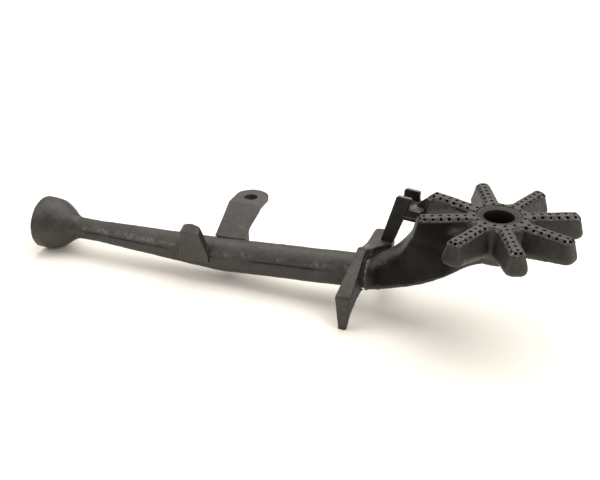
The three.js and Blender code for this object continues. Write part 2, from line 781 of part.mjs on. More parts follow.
// One outline of the lug across the tube, at a distance y, with a rounded crown of some height.
function lugRing(y, topZ, crown) {
  const top = arc(4, 0, 1, (share) => new THREE.Vector3(
    THREE.MathUtils.lerp(LUG.west, LUG.east, share),
    y,
    topZ + crown * Math.sin(Math.PI * share),
  ));
  const sides = [[LUG.footEast, LUG.hipZ], [LUG.footEast, LUG.footZ], [LUG.footWest, LUG.footZ]];
  return [...top, ...sides.map(([x, z]) => new THREE.Vector3(x, y, z))];
}

function lugTenon(clearance) {
  const x = (LUG.west + LUG.east) / 2;
  const start = new THREE.Vector3(x, -TUBE.radius, axisZ(x));
  const length = TUBE.wall + OVERCUT + clearance;
  return solid(pin(LUG.tenon + clearance, length, SCREW_SIDES, start, new THREE.Vector3(0, 1, 0)));
}

function locatingLug() {
  const frontY = -TUBE.radius - LUG.proud;
  const blank = solid(loft([
    lugRing(frontY, LUG.faceZ, 0),
    lugRing(frontY + LUG.depth, LUG.shoulderZ, LUG.crown),
  ], PLANES.xz));
  return blank.subtract(tubeCutter(GAP)).add(lugTenon(0));
}

// ---------------------------------------------------------------- set screw of the tube joint

function setScrewPlace() {
  const x = JOINT_X + SET_SCREW.inset;
  return new THREE.Vector3(x, TUBE.radius + SET_SCREW.seat, axisZ(x));
}

function setScrewCutter() {
  const start = setScrewPlace().setY(TUBE.radius + 2 * OVERCUT);
  return solid(pin(SET_SCREW.radius + GAP, 3 * OVERCUT, SCREW_SIDES, start, TOWARDS_FRONT));
}

function setScrew() {
  const tip = TUBE.radius - TUBE.wall / 2;
  const place = setScrewPlace();
  return screwShape(SET_SCREW, place.y - tip, place, TOWARDS_FRONT);
}

// ---------------------------------------------------------------- assembly

addPiece('burner_top', burnerTop(), 'head');
addPiece('burner_body', geometryOf(burnerBody()), 'casting');
addPiece('centre_sleeve', centreSleeve(), 'head');
addPiece('mixing_tube', geometryOf(mixingTube()), 'casting');
addPiece('tube_set_screw', setScrew(), 'fastener');
addPiece('leg_bracket', geometryOf(legBracket()), 'bracket');
addPiece('pilot_post', geometryOf(pilotPost()), 'bracket');
addPiece('pilot_cradle', geometryOf(pilotCradle()), 'bracket');
addPiece('mounting_tab', geometryOf(mountingTab()), 'plate');
TAB_SCREWS.forEach((x, i) => addPiece(`tab_screw_${i + 1}`, tabScrew(x), 'fastener'));
addPiece('locating_lug', geometryOf(locatingLug()), 'plate');

const box = new THREE.Box3().setFromObject(assembly);
const centre = box.getCenter(new THREE.Vector3());
const group = new THREE.Group();
assembly.position.set(-centre.x, -centre.y, -box.min.z);
group.add(assembly);

export default group;
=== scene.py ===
"""Looks of the cast-iron star burner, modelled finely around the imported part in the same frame."""

import math

import bpy
import numpy as np
import openvdb
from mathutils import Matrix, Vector


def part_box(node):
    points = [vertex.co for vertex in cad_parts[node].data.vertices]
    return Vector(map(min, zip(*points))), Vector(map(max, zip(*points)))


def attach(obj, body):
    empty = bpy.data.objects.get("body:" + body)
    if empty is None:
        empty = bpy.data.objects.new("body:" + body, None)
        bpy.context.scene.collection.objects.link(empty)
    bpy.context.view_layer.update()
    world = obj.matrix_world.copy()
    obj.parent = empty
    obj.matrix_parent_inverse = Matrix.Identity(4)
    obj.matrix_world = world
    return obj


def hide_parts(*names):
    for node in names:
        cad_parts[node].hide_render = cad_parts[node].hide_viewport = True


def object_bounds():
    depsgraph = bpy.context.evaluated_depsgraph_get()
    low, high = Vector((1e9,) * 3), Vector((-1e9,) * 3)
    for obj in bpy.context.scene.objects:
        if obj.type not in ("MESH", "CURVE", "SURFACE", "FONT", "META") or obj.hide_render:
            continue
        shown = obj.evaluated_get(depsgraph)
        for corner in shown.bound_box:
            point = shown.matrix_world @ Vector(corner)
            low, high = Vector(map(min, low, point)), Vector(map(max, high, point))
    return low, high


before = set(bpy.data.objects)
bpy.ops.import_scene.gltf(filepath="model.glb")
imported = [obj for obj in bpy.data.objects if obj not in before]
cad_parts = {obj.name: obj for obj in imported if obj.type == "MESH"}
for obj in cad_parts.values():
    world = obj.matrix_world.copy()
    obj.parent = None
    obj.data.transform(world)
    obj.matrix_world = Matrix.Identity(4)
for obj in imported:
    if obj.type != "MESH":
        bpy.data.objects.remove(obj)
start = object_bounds()

# Shapes below are in millimetres from the middle of the drilled face, x along the tube, z up.
MM = 0.001
sleeve_lo, sleeve_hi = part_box("centre_sleeve")
top_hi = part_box("burner_top")[1]
HUB = Vector(((sleeve_lo.x + sleeve_hi.x) / 2, (sleeve_lo.y + sleeve_hi.y) / 2, top_hi.z))

SEAM = 0.06  # gap left between neighbouring pieces
ARMS, FIRST_ARM, HALF_PITCH = 8, math.radians(22.5), math.pi / 8
ARM_REACH, ARM_HALF, WEB_FILLET, CHAMFER, PLATE = 73.0, 4.0, 9.5, 3.0, 4.0
HUB_DEPTH, END_DEPTH = 34.0, 25.0
PORT_RADIUS, PORT_PITCH, PORT_OUTER, PORT_RING = 1.2, 7.7, 70.0, 23.8
PORT_SIDE, PORT_END = 5.4, 2.3
TUBE_RADIUS, TUBE_WALL, JOINT_X, BEND_X, MOUTH_X = 18.4, 4.0, -124.0, -285.0, -507.0
MOUTH_RADIUS, THROAT_RADIUS, BELL_LENGTH = 29.5, 12.5, 49.0
REST_Z, BEND_Z, RISE = -123.0, -95.2, math.tan(math.radians(3.8))
TAB_X, TAB_HALF, TAB_EAR_Y, TAB_HOLE_Y = -278.5, 18.5, 66.3, 64.6
TAB_SCREWS = (TAB_X - 10, TAB_X + 10)
TAB_BACK = TUBE_RADIUS + 4.5
SET_SCREW_X = -111.5
BEAD_X = -122.3
ELBOW_STEPS = 601

rng = np.random.default_rng(23)
LATTICE = (rng.random((32, 32, 32)) * 2 - 1).astype(np.float32)


# ---------------------------------------------------------------- fields

class Grid:
    """A block of sample points, millimetres apart by step."""

    def __init__(self, low, high, step):
        self.low, self.step = np.array(low, float), step
        axes = [np.arange(a, b + step, step, dtype=np.float32) for a, b in zip(low, high)]
        self.shape = tuple(len(a) for a in axes)
        self.x = axes[0][:, None, None]
        self.y = axes[1][None, :, None]
        self.z = axes[2][None, None, :]


class Axes:
    """Loose points with the same three axes as a grid."""

    def __init__(self, points):
        self.x, self.y, self.z = points.T


def smin(a, b, k):
    h = np.maximum(k - np.abs(a - b), 0) / k
    return np.minimum(a, b) - h * h * (k / 4)


def smax(a, b, k):
    return -smin(-a, -b, k)


def cut(a, b, k=0.6):
    return smax(a, -b, k)


def polygon(u, v, corners):
    """Signed distance to a closed outline, negative inside."""
    shape = np.broadcast_shapes(np.shape(u), np.shape(v))
    best = np.full(shape, 1e9, np.float32)
    odd = np.zeros(shape, bool)
    for (ax, ay), (bx, by) in zip(corners, corners[1:] + corners[:1]):
        ex, ey = bx - ax, by - ay
        wu, wv = u - ax, v - ay
        t = np.clip((wu * ex + wv * ey) / (ex * ex + ey * ey), 0, 1)
        best = np.minimum(best, (wu - ex * t) ** 2 + (wv - ey * t) ** 2)
        if ey:
            odd ^= ((ay > v) != (by > v)) & (wu < wv * ex / ey)
    return np.where(odd, -np.sqrt(best), np.sqrt(best))


def slab(v, low, high):
    return np.maximum(low - v, v - high)


def noise(p, size):
    """Smooth seeded noise from -1 to 1 at points, with lumps of some size."""
    q = p / size
    cell = np.floor(q).astype(int)
    f = q - cell
    f = f * f * (3 - 2 * f)
    total = 0
    for corner in range(8):
        bits = [(corner >> axis) & 1 for axis in range(3)]
        index = [(cell[:, axis] + bits[axis]) % 32 for axis in range(3)]
        weight = 1
        for axis in range(3):
            weight = weight * (f[:, axis] if bits[axis] else 1 - f[:, axis])
        total = total + LATTICE[index[0], index[1], index[2]] * weight
    return total


# ---------------------------------------------------------------- meshes

def build_mesh(name, points, polygons):
    """A smooth-shaded mesh object from millimetre points and lists of corner arrays."""
    mesh = bpy.data.meshes.new(name)
    loops = np.concatenate([p.ravel() for p in polygons])
    sizes = np.concatenate([np.full(len(p), p.shape[1]) for p in polygons])
    starts = np.concatenate([[0], np.cumsum(sizes)[:-1]])
    world = points * MM + np.array(HUB)
    mesh.vertices.add(len(points))
    mesh.vertices.foreach_set("co", world.astype(np.float32).ravel())
    mesh.loops.add(len(loops))
    mesh.loops.foreach_set("vertex_index", loops.astype(np.int32))
    mesh.polygons.add(len(sizes))
    mesh.polygons.foreach_set("loop_start", starts.astype(np.int32))
    mesh.update(calc_edges=True)
    mesh.shade_smooth()
    item = bpy.data.objects.new(name, mesh)
    bpy.context.scene.collection.objects.link(item)
    return item


def main_shell(points, faces):
    """The largest connected shell of a mesh, without the crumbs beside it."""
    edges = np.concatenate([np.stack([p, np.roll(p, 1, axis=1)], axis=-1).reshape(-1, 2) for p in faces])
    label = np.arange(len(points))
    settled = False
    while not settled:
        low = label[edges].min(axis=1)
        lowered = label.copy()
        np.minimum.at(lowered, edges[:, 0], low)
        np.minimum.at(lowered, edges[:, 1], low)
        lowered = lowered[lowered]
        settled = np.array_equal(lowered, label)
        label = lowered
    keep = label == np.bincount(label).argmax()
    index = np.cumsum(keep) - 1
    return points[keep], [index[p[keep[p[:, 0]]]] for p in faces]


def surface(name, field, grid, adaptivity=0.0):
    values = np.broadcast_to(np.clip(field / grid.step, -3, 3), grid.shape)
    vdb = openvdb.FloatGrid()
    vdb.background = 3.0
    vdb.copyFromArray(np.array(values, dtype=np.float32, order="C"))
    points, tris, quads = vdb.convertToPolygons(isovalue=0.0, adaptivity=adaptivity)
    points, faces = main_shell(points * grid.step + grid.low, [p for p in (tris, quads) if len(p)])
    return build_mesh(name, points, faces)


def points_of(item):
    co = np.empty(len(item.data.vertices) * 3, np.float32)
    item.data.vertices.foreach_get("co", co)
    return (co.reshape(-1, 3) - np.array(HUB)) / MM


def normals_of(item):
    vectors = np.empty(len(item.data.vertices) * 3, np.float32)
    item.data.vertex_normals.foreach_get("vector", vectors)
    return vectors.reshape(-1, 3)


def roughen(item, lumps, keep=None):
    """Moves the skin in along its normals by seeded cast-surface lumps of (size, depth)."""
    points = points_of(item)
    normals = normals_of(item)
    depth = sum(amount * (noise(points + 37 * i, size) - 0.6) for i, (size, amount) in enumerate(lumps))
    if keep is not None:
        depth = depth * keep(points)
    points = points + normals * depth[:, None]
    item.data.vertices.foreach_set("co", (points * MM + np.array(HUB)).astype(np.float32).ravel())
    item.data.update()


def attribute(item, name, values):
    layer = item.data.attributes.new(name, "FLOAT", "POINT")
    layer.data.foreach_set("value", values.astype(np.float32))


def turned(name, profile, sides=128):
    """A closed ring turned about the hub axis, from [radius, z] pairs."""
    turn = np.linspace(0, 2 * math.pi, sides, endpoint=False)
    ring = np.array(profile)
    points = np.stack([
        np.outer(np.cos(turn), ring[:, 0]),
        np.outer(np.sin(turn), ring[:, 0]),
        np.broadcast_to(ring[:, 1], (sides, len(ring))),
    ], -1).reshape(-1, 3)
    count = len(ring)
    i, j = np.meshgrid(np.arange(sides), np.arange(count), indexing="ij")
    ni, nj = (i + 1) % sides, (j + 1) % count
    quads = np.stack([i * count + j, ni * count + j, ni * count + nj, i * count + nj], -1).reshape(-1, 4)
    return build_mesh(name, points, [quads])


# ---------------------------------------------------------------- shared shapes

def star_outline(g):
    """Distance outwards, in plan, from the edge of the star's flat top."""
    radius = np.hypot(g.x, g.y)
    turn = np.mod(np.arctan2(g.y, g.x) - FIRST_ARM, 2 * HALF_PITCH)
    turn = HALF_PITCH - np.abs(turn - HALF_PITCH)
    along, across = radius * np.cos(turn), radius * np.sin(turn)
    corner = 1.6
    dx, dy = along - (ARM_REACH - corner), across - (ARM_HALF - corner)
    bar = np.minimum(np.maximum(dx, dy), 0) + np.hypot(np.maximum(dx, 0), np.maximum(dy, 0)) - corner
    web_y = ARM_HALF + WEB_FILLET
    web_x = web_y / math.tan(HALF_PITCH)
    web = WEB_FILLET - np.hypot(along - web_x, across - web_y)
    return np.where(along < web_x, web, bar), radius


def star_sides(q, radius, z):
    """The trough's sloping sides and rounded underside, and the chamfer above them."""
    share = np.clip((radius - 24) / (ARM_REACH - 24), 0, 1)
    depth = HUB_DEPTH + (END_DEPTH - HUB_DEPTH) * share
    low = np.where(z > -PLATE, z, -PLATE + (z + PLATE) * (HUB_DEPTH - PLATE) / (depth - PLATE))
    wall = (20 * (q - CHAMFER) + 4 * (z * 0 + low + CHAMFER)) / 20.4
    trough = smax(wall, -low - HUB_DEPTH, 13)
    seam_line = 0.42 * np.exp(-((z + CHAMFER + 0.5) / 0.55) ** 2)
    return trough - seam_line


def axis_z(x):
    mouth = REST_Z + MOUTH_RADIUS
    west = mouth + (BEND_Z - mouth) * (x - MOUTH_X) / (BEND_X - MOUTH_X)
    east = BEND_Z + (x - BEND_X) * RISE
    return smax(west, east, 1.6) - 0.2 * np.exp(-((x - BEND_X) / 14) ** 2)


def tube_outer_radius(x):
    share = np.linspace(0, 1, 60)
    fall = 0.5 - 0.5 * np.cos(np.pi * share ** 1.45)
    neck = MOUTH_X + BELL_LENGTH
    xs = np.concatenate([[MOUTH_X - 9, MOUTH_X + 1], MOUTH_X + 6 + (BELL_LENGTH - 6) * share])
    rs = np.concatenate([[MOUTH_RADIUS] * 2, MOUTH_RADIUS + (THROAT_RADIUS - MOUTH_RADIUS) * fall])
    xs = np.concatenate([xs, [neck + 25, BEND_X - 12, BEND_X, 0]])
    rs = np.concatenate([rs, [THROAT_RADIUS + 0.2, TUBE_RADIUS - 0.4, TUBE_RADIUS, TUBE_RADIUS]])
    return np.interp(x, xs, rs).astype(np.float32)


def tube_field(g, grow=0.0):
    return np.hypot(g.y, g.z - axis_z(g.x)) - tube_outer_radius(g.x) - grow


def screw_hole(g, x, radius, low, high):
    return smax(np.hypot(g.x - x, g.z - axis_z(x)) - radius, slab(g.y, low, high), 0.1)


# Stations of the elbow: roof x and z, floor x and z, half-width, squareness.
ELBOW = np.array([
    (-128.0, -66.4, -128.0, -103.2, 18.3, 2.0),
    (-121.5, -66.2, -121.0, -102.6, 18.4, 2.0),
    (-112.0, -61.2, -108.5, -99.5, 18.9, 2.1),
    (-102.0, -55.4, -94.0, -94.0, 20.4, 2.6),
    (-94.0, -48.8, -79.0, -86.5, 24.0, 3.5),
    (-87.3, -41.2, -64.0, -77.0, 29.0, 4.8),
    (-81.6, -32.0, -49.0, -66.5, 34.5, 6.0),
    (-75.0, -22.0, -34.0, -56.0, 36.5, 6.5),
    (-56.0, -13.0, -22.0, -49.0, 33.0, 5.5),
    (-40.0, -8.0, -10.0, -45.0, 30.0, 4.0),
])


def elbow_field(g):
    """The swept elbow between the tube and the bowl."""
    fine = np.linspace(0, len(ELBOW) - 1, ELBOW_STEPS)
    tangents = np.gradient(ELBOW, axis=0)
    i = np.minimum(fine.astype(int), len(ELBOW) - 2)
    t = (fine - i)[:, None]
    rows = ((2 * t**3 - 3 * t**2 + 1) * ELBOW[i] + (t**3 - 2 * t**2 + t) * tangents[i]
            + (3 * t**2 - 2 * t**3) * ELBOW[i + 1] + (t**3 - t**2) * tangents[i + 1])
    x, z = g.x[:, :, 0], g.z[0]
    best = np.full((x.shape[0], z.shape[1]), 1e9, np.float32)
    pick = np.zeros(best.shape, int)
    for k, (rx, rz, fx, fz, _, _) in enumerate(rows):
        cx, cz, ux, uz = (rx + fx) / 2, (rz + fz) / 2, (rx - fx) / 2, (rz - fz) / 2
        along = np.clip(((x - cx) * ux + (z - cz) * uz) / (ux * ux + uz * uz), -1.25, 1.25)
        far = (x - cx - ux * along) ** 2 + (z - cz - uz * along) ** 2
        pick = np.where(far < best, k, pick)
        best = np.minimum(best, far)
    row = rows[pick]
    cx, cz = (row[..., 0] + row[..., 2]) / 2, (row[..., 1] + row[..., 3]) / 2
    ux, uz = (row[..., 0] - row[..., 2]) / 2, (row[..., 1] - row[..., 3]) / 2
    height = np.hypot(ux, uz)
    along = np.abs(((x - cx) * ux + (z - cz) * uz) / height**2)
    beyond = np.sqrt(best) * (np.abs(along) < 1.2)
    along, power = along[:, None, :], row[..., 5][:, None, :]
    half, height = row[..., 4][:, None, :], height[:, None, :]
    across = np.abs(g.y) / half
    ratio = (along**power + across**power + 1e-6) ** (1 / power)
    slope = np.hypot(along ** (power - 1) / height, across ** (power - 1) / half)
    slope = slope * ratio ** (1 - power) + 1e-4
    return ((ratio - 1) / slope + beyond[:, None, :]).astype(np.float32)


def bead_field(g):
    """The rough bead of cement along the front of the tube's joint."""
    ring = np.hypot(g.x - BEAD_X, tube_field(g) * np.ones_like(g.x)) - 1.25
    return np.maximum(ring, g.y + 5)


def bowl_field(radius, z):
    side_z, foot = -0.68 * HUB_DEPTH, 17.0
    round_part = np.hypot(np.maximum(radius - foot, 0) / 12, np.maximum(side_z - z, 0) / 22)
    return np.where(z > side_z, radius - 29, (round_part - 1) * 15)


# ---------------------------------------------------------------- materials

def new_material(name):
    material = bpy.data.materials.new(name)
    material.use_nodes = True
    return material, material.node_tree


def cast_iron(name, dark, pale, roughness, grain=1.0, wear=0.5, painted_top_highlight=0.0):
    """Grey-brown cast iron: sandy grain, blotches, rubbed edges, painted shade from one attribute, a painted
    sheen from another and a painted highlight on faces that look up, with every size in millimetres.
    """
    material, tree = new_material(name)
    nodes, links = tree.nodes, tree.links
    shader = nodes["Principled BSDF"]
    place = nodes.new("ShaderNodeTexCoord").outputs["Object"]

    def texture(size, detail=4.0, rough=0.6):
        node = nodes.new("ShaderNodeTexNoise")
        node.inputs["Scale"].default_value = 1 / (size * MM)
        node.inputs["Detail"].default_value = detail
        node.inputs["Roughness"].default_value = rough
        links.new(place, node.inputs["Vector"])
        return node.outputs["Fac"]

    def ramp(source, low, high, to_low=0.0, to_high=1.0):
        node = nodes.new("ShaderNodeMapRange")
        node.interpolation_type = "SMOOTHSTEP"
        for key, value in zip(("From Min", "From Max", "To Min", "To Max"), (low, high, to_low, to_high)):
            node.inputs[key].default_value = value
        links.new(source, node.inputs["Value"])
        return node.outputs["Result"]

    def math_node(kind, a, b):
        node = nodes.new("ShaderNodeMath")
        node.operation = kind
        for socket, value in zip(node.inputs, (a, b)):
            if isinstance(value, (int, float)):
                socket.default_value = value
            else:
                links.new(value, socket)
        return node.outputs[0]

    def mix(amount, a, b):
        node = nodes.new("ShaderNodeMix")
        node.data_type = "RGBA"
        links.new(amount, node.inputs[0])
        for socket, value in ((node.inputs[6], a), (node.inputs[7], b)):
            if isinstance(value, tuple):
                socket.default_value = (*value, 1)
            else:
                links.new(value, socket)
        return node.outputs[2]

    blotch = ramp(texture(26, 3), 0.35, 0.68)
    mottle = ramp(texture(5.5, 5, 0.65), 0.36, 0.66)
    fine = texture(0.9 * grain, 3, 0.7)
    shade = math_node("ADD", math_node("MULTIPLY", blotch, 0.5), math_node("MULTIPLY", mottle, 0.5))
    colour = mix(shade, dark, pale)
    rust = ramp(texture(3.2, 6, 0.7), 0.58, 0.72, 0, 0.35)
    warm = tuple(c * f for c, f in zip(pale, (1.12, 0.86, 0.66)))
    colour = mix(rust, colour, warm)
    speck = ramp(texture(1.5, 2, 0.5), 0.70, 0.76, 0, 0.5)
    colour = mix(speck, colour, tuple(min(1, c * 2.0) for c in pale))
    pit = ramp(texture(1.9, 3, 0.6), 0.30, 0.36, 0.65, 0)
    colour = mix(pit, colour, tuple(c * 0.3 for c in dark))
    shape = nodes.new("ShaderNodeNewGeometry")
    edge = ramp(shape.outputs["Pointiness"], 0.525, 0.60)
    edge = math_node("MULTIPLY", edge, math_node("MULTIPLY", ramp(texture(3.5, 5), 0.35, 0.62), wear))
    colour = mix(edge, colour, tuple(min(1, c * 3.2) for c in pale))
    # Rubbed wear, and the tube's painted sheen: a lighter colour where this attribute is set.
    wear_and_sheen = nodes.new("ShaderNodeAttribute")
    wear_and_sheen.attribute_name = "wear_and_sheen"
    colour = mix(wear_and_sheen.outputs["Fac"], colour, (0.30, 0.29, 0.275))
    # Painted shade, and a darker tone in a few places: the colour goes to near black where this attribute is
    # set.
    painted_shade_and_tone = nodes.new("ShaderNodeAttribute")
    painted_shade_and_tone.attribute_name = "painted_shade_and_tone"
    colour = mix(painted_shade_and_tone.outputs["Fac"], colour, (0.004, 0.0037, 0.0034))
    # Painted highlight: faces that look up get a lighter colour.
    if painted_top_highlight:
        normal = nodes.new("ShaderNodeSeparateXYZ")
        links.new(shape.outputs["True Normal"], normal.inputs[0])
        painted_top_highlight_amount = math_node("MULTIPLY", ramp(normal.outputs["Z"], 0.93, 0.99), painted_top_highlight)
        colour = mix(painted_top_highlight_amount, colour, tuple(min(1, c * 1.9) for c in pale))
    links.new(colour, shader.inputs["Base Color"])
    links.new(ramp(fine, 0.25, 0.75, roughness - 0.1, roughness + 0.14), shader.inputs["Roughness"])
    shader.inputs["Metallic"].default_value = 0.12
    # The specular drops with the painted shade too.
    links.new(ramp(painted_shade_and_tone.outputs["Fac"], 0, 1, 0.5, 0.10), shader.inputs["Specular IOR Level"])
    height = math_node("ADD", math_node("MULTIPLY", fine, 0.55), texture(2.6 * grain, 4))
    bump = nodes.new("ShaderNodeBump")
    bump.inputs["Strength"].default_value = 0.75
    bump.inputs["Distance"].default_value = 0.45 * MM * grain
    links.new(height, bump.inputs["Height"])
    links.new(bump.outputs["Normal"], shader.inputs["Normal"])
    return material


# The head's iron gets a painted highlight on faces that look up (last argument).
HEAD = cast_iron("head_iron", (0.014, 0.0125, 0.011), (0.034, 0.031, 0.0275), 0.46, 0.9, 0.7, 0.35)
TUBE = cast_iron("tube_iron", (0.016, 0.0142, 0.0122), (0.036, 0.0325, 0.0285), 0.44, 1.0, 0.4)
LEGS = cast_iron("bracket_iron", (0.020, 0.018, 0.016), (0.046, 0.042, 0.037), 0.47, 1.0, 0.8)
PLATE_IRON = cast_iron("plate_iron", (0.029, 0.0255, 0.023), (0.053, 0.047, 0.042), 0.50, 0.9, 0.6)
STEEL = cast_iron("black_steel", (0.020, 0.018, 0.017), (0.045, 0.041, 0.038), 0.38, 0.4, 0.8)


def east_shade(item, amount):
    """Painted shade, as a darker colour, on the faces that look along the tube towards the burner head."""
    return amount * np.clip((normals_of(item)[:, 0] - 0.45) / 0.3, 0, 1)


def paint_front_shade(item, amount, west, east, front=10):
    """Paints shade, as a darker colour, on the walls that face the front, -y, between two places along the
    tube.
    """
    points = points_of(item)
    normals = normals_of(item)
    facing = np.clip((-normals[:, 1] - 0.30) / 0.35, 0, 1)
    facing *= np.clip((normals[:, 2] + 0.62) / 0.22, 0, 1)
    facing *= np.clip((0.72 - normals[:, 2]) / 0.3, 0, 1)
    x = points[:, 0]
    along = np.clip((x - west) / 10, 0, 1) * np.clip((east - x) / 18, 0, 1) * (points[:, 1] < front)
    attribute(item, "painted_shade_and_tone", amount * facing * along * (0.9 + 0.1 * noise(points, 9)))


def stand_in(item, material, slot, *nodes):
    item.data.materials.append(material)
    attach(item, "root")
    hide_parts(*nodes)
    return item


# ---------------------------------------------------------------- drilled top

def port_places():
    """Mouth and inward direction of every flame port."""
    ports = []
    slope = PORT_SIDE - ARM_HALF
    down = np.array([0.0, 0.0, -1.0])
    for arm in range(ARMS):
        angle = FIRST_ARM + arm * 2 * HALF_PITCH
        out = np.array([math.cos(angle), math.sin(angle), 0])
        side = np.array([-out[1], out[0], 0])
        for i in range(6):
            along = PORT_OUTER - i * PORT_PITCH
            ports.append((out * along, down))
            for sign in (-1, 1):
                ports.append((out * along + side * sign * PORT_SIDE - (0, 0, slope), -sign * side + down))
        for sign in (-1, 1):
            place = out * (ARM_REACH + slope) + side * sign * PORT_END - (0, 0, slope)
            ports.append((place, -out + down))
        for turn in (angle, angle + HALF_PITCH):
            ports.append((PORT_RING * np.array([math.cos(turn), math.sin(turn), 0]), down))
    return [(place, way / np.linalg.norm(way)) for place, way in ports]


def drilled_top():
    g = Grid((-79, -79, -5.2), (79, 79, 1.2), 0.4)
    q, radius = star_outline(g)
    field = star_sides(q, radius, g.z)
    field = smax(field, (q + g.z) / math.sqrt(2), 0.5)
    field = smax(field, g.z + 0 * q, 0.5)
    field = np.maximum(field, -PLATE + SEAM - g.z)
    cone = radius - 20.63 + 1.1 * np.minimum(g.z, 0)
    field = cut(field, cone, 0.3)
    ports = port_places()
    for place, way in ports:
        spread = (1.32 if way[2] < -0.9 else 1.08) * (1 + rng.normal(0, 0.05))
        place = place + rng.normal(0, 0.09, 3) * (1, 1, 0)
        low = np.floor((place - 5.4 - g.low) / g.step).astype(int).clip(0)
        high = np.ceil((place + 5.4 - g.low) / g.step).astype(int)
        sx, sy, sz = (slice(a, b) for a, b in zip(low, high))
        dx, dy, dz = g.x[sx] - place[0], g.y[:, sy] - place[1], g.z[:, :, sz] - place[2]
        depth = dx * way[0] + dy * way[1] + dz * way[2]
        far = np.sqrt(np.maximum(dx**2 + dy**2 + dz**2 - depth**2, 0))
        hole = np.maximum(far - spread - 0.32 * np.clip(1 - (depth + 0.1) / 0.55, 0, 1), -1.6 - depth)
        field[sx, sy, sz] = np.maximum(field[sx, sy, sz], -hole)
    item = surface("drilled_top", field, g, 0.01)
    roughen(item, [(9, 0.14), (2.4, 0.13), (1.3, 0.08)], lambda p: (p[:, 2] > -PLATE + 0.3).astype(float))
    points = points_of(item)
    wear_and_sheen = np.zeros(len(points))
    painted_shade_and_tone = np.zeros(len(points))
    for place, way in ports:
        offset = points - place
        near = (np.abs(offset) < 4.5).all(axis=1)
        part = offset[near]
        depth = part @ way
        far = np.sqrt(np.maximum((part**2).sum(axis=1) - depth**2, 0))
        turn = np.arctan2(part[:, 1], part[:, 0])
        patch = 0.5 + 0.5 * np.cos(turn - rng.random() * 6.3)
        ring = np.exp(-((far - PORT_RADIUS - 0.35) / 0.32) ** 2) * patch**2 * rng.random() ** 1.5
        wear_and_sheen[near] = np.maximum(wear_and_sheen[near], ring * (depth < 0.5))
        # Painted shade down inside each port, and a darker halo round its mouth.
        bore = np.clip((depth - 0.1) / 0.4, 0, 1) * (far < PORT_RADIUS + 0.6)
        halo = 0.6 * np.exp(-((far - PORT_RADIUS) / 0.55) ** 2) * (1 - ring)
        painted_shade_and_tone[near] = np.maximum(painted_shade_and_tone[near], np.maximum(bore, halo))
    q = star_outline(Axes(points))[0]
    fleck = np.clip(noise(points, 1.7) * 1.4 + noise(points + 9, 6) * 0.8 - 0.35, 0, 1)
    rims = np.exp(-((q + 0.1) / 0.4) ** 2) + 0.7 * np.exp(-((q - CHAMFER - 0.2) / 0.5) ** 2)
    speck = np.clip(noise(points + 5, 1.3) * 2.2 - 0.75, 0, 1) * np.exp(-((q - 1.4) / 1.3) ** 2)
    wear_and_sheen = np.maximum(np.maximum(wear_and_sheen, rims * fleck * 0.8), speck)
    attribute(item, "wear_and_sheen", wear_and_sheen * 0.85)
    attribute(item, "painted_shade_and_tone", painted_shade_and_tone)
    return stand_in(item, HEAD, "drilled_top", "burner_top")


# ---------------------------------------------------------------- cast body

def body_outside(g):
    q, radius = star_outline(g)
    star = star_sides(q, radius, g.z)
    return smin(smin(star, bowl_field(radius, g.z), 4), elbow_field(g), 4.5)


def cast_body():
    g = Grid((-126, -82, -106), (82, 82, -2), 0.9)
    outside = body_outside(g)
    radius = np.hypot(g.x, g.y)
    field = cut(outside, outside + 3.4, 0.4)
    field = smin(field, bead_field(g), 1.0)
    field = np.maximum(field, g.z + PLATE + SEAM)
    field = np.maximum(field, JOINT_X + SEAM - g.x)
    tube_end = np.maximum(tube_field(g, -2.0), g.x - JOINT_X - 16.4)
    field = np.maximum(field, -tube_end)
    field = np.maximum(field, -np.maximum(radius - 16.8 + 0 * g.z, -60 - g.z))
    field = np.maximum(field, -np.maximum(radius - 18.5 + (g.z + 45) * 1.0, g.z + 43.3))
    field = np.maximum(field, -screw_hole(g, SET_SCREW_X, 3.2, 8, 40))
    item = surface("cast_body", field, g)
    roughen(item, [(22, 0.30), (6, 0.22), (2.6, 0.14)], lambda p: (p[:, 2] < -PLATE - 0.4).astype(float))
    # Painted shade on the front-facing walls from the joint bead to near the hub.
    paint_front_shade(item, 0.95, BEAD_X + 1.5, -22)
    points = points_of(item)
    bead = np.exp(-((points[:, 0] - BEAD_X) / 1.2) ** 2) * (points[:, 1] < -6)
    attribute(item, "wear_and_sheen", 0.5 * bead * np.clip(noise(points, 2.2) + 0.6, 0, 1))
    return stand_in(item, HEAD, "head_casting", "burner_body")


# ---------------------------------------------------------------- sleeve

def centre_sleeve():
    bore, outer, flange, depth = 14.3, 16.5, 20.6, 45.0
    profile = [(bore, -2.5), (bore + 0.15, -2.15), (bore + 0.5, -1.95)]
    profile += [(bore + 0.5 + 5.2 * t, -1.95 + 1.45 * t) for t in np.linspace(0.15, 1, 6)]
    profile += [(flange - 0.1, -0.42), (flange, -0.6), (flange - 0.05, -0.95)]
    profile += [(outer + 0.4, -4.0), (outer, -4.5)]
    profile += [(outer, -12), (outer, -24), (outer, -36), (outer, -depth + 2.2), (outer + 0.4, -depth + 1.2)]
    profile += [(outer + 1.4, -depth + 0.15), (outer + 1.0, -depth), (bore + 1.5, -depth)]
    profile += [(bore + 0.5, -depth + 0.6), (bore, -depth + 1.8), (bore, -32), (bore, -20), (bore, -10)]
    item = turned("sleeve", profile[::-1])
    roughen(item, [(7, 0.05)])
    depth_of = -points_of(item)[:, 2]
    inner = np.hypot(*points_of(item)[:, :2].T) < bore + 0.3
    # Painted shade down the inside of the bore, and a darker tone over all but the top lip.
    wall = np.clip((depth_of - 1.2) / 8, 0, 0.9) * inner
    attribute(item, "painted_shade_and_tone", np.maximum(wall, 0.62 * (depth_of > 0.55)))
    return stand_in(item, HEAD, "sleeve_steel", "centre_sleeve")


# ---------------------------------------------------------------- mixing tube

def ridge_height(x):
    """Height over the tube's axis of the moulding line along its sides."""
    share = np.clip((x + 330) / 30, 0, 1)
    return tube_outer_radius(x) * (0.36 + 0.02 * share)


